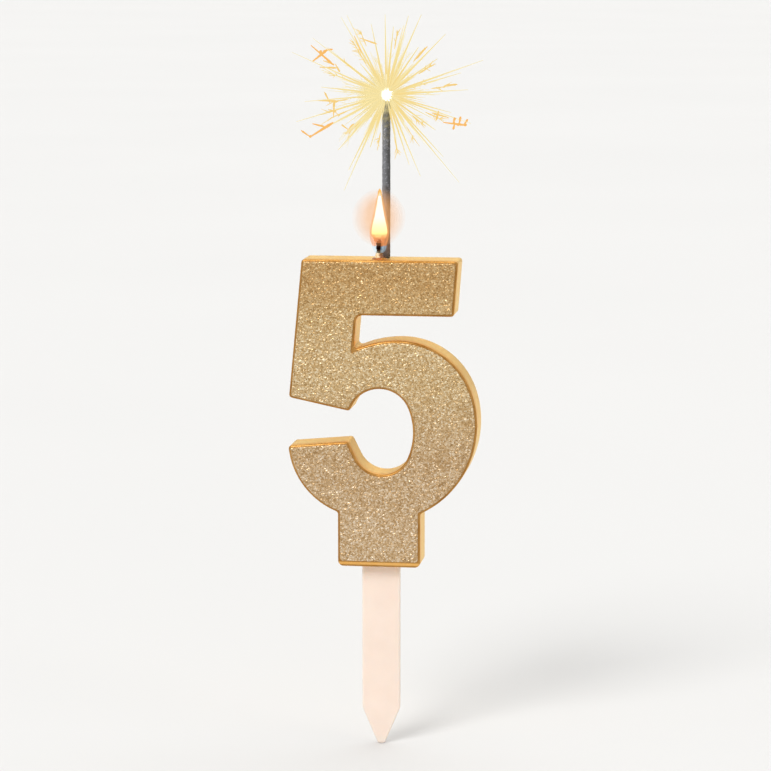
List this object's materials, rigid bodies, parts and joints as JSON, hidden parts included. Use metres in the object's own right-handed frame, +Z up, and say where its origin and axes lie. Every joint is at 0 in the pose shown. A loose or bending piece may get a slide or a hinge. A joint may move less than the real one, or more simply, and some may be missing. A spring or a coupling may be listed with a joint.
{
  "type": "number birthday candle",
  "caption": "Numeral birthday candle on a cake pick: glitter-faced wax figure with a lit wick and a small sparkler standing in its top bar.",
  "frame": {"origin": "centre of the pedestal's underside at mid thickness, where the pick leaves the wax", "axes": "+Z up along the figure's height, +X to the reader's right, the glittered front faces -Y"},
  "size_m": [0.0461, 0.01, 0.164],
  "materials": {
    "gold_wax": "satin gold lacquer over cast wax",
    "gold_glitter": "fine gold film glitter in lacquer",
    "wick_cotton": "waxed braided cotton",
    "charred_wick": "charred braid",
    "primer_wax": "soft glossy wax",
    "molten_wax": "wet amber wax",
    "sparkler_steel": "drawn wire",
    "sparkler_coat": "dipped granular coat with metal filings",
    "ember": "burning bead",
    "pick_plastic": "milky moulded plastic"
  },
  "bodies": {
    "pick": {"pick": "pick_plastic"},
    "numeral": {"wax_numeral": "gold_wax", "front_glitter_coat": "gold_glitter", "wick_braid": "wick_cotton", "wick_char": "charred_wick", "wick_wax_sleeve": "primer_wax", "melt_pool": "molten_wax"},
    "sparkler": {"sparkler_wire": "sparkler_steel", "sparkler_composition": "sparkler_coat", "sparkler_ember": "ember"}
  },
  "joints": [
    {"name": "numeral_lift", "type": "slide", "parent": "pick", "child": "numeral", "axis": [0, 0, 1], "range_m": [0, 0.02]},
    {"name": "sparkler_pull", "type": "slide", "parent": "numeral", "child": "sparkler", "axis": [0, 0, 1], "range_m": [0, 0.014]}
  ]
}
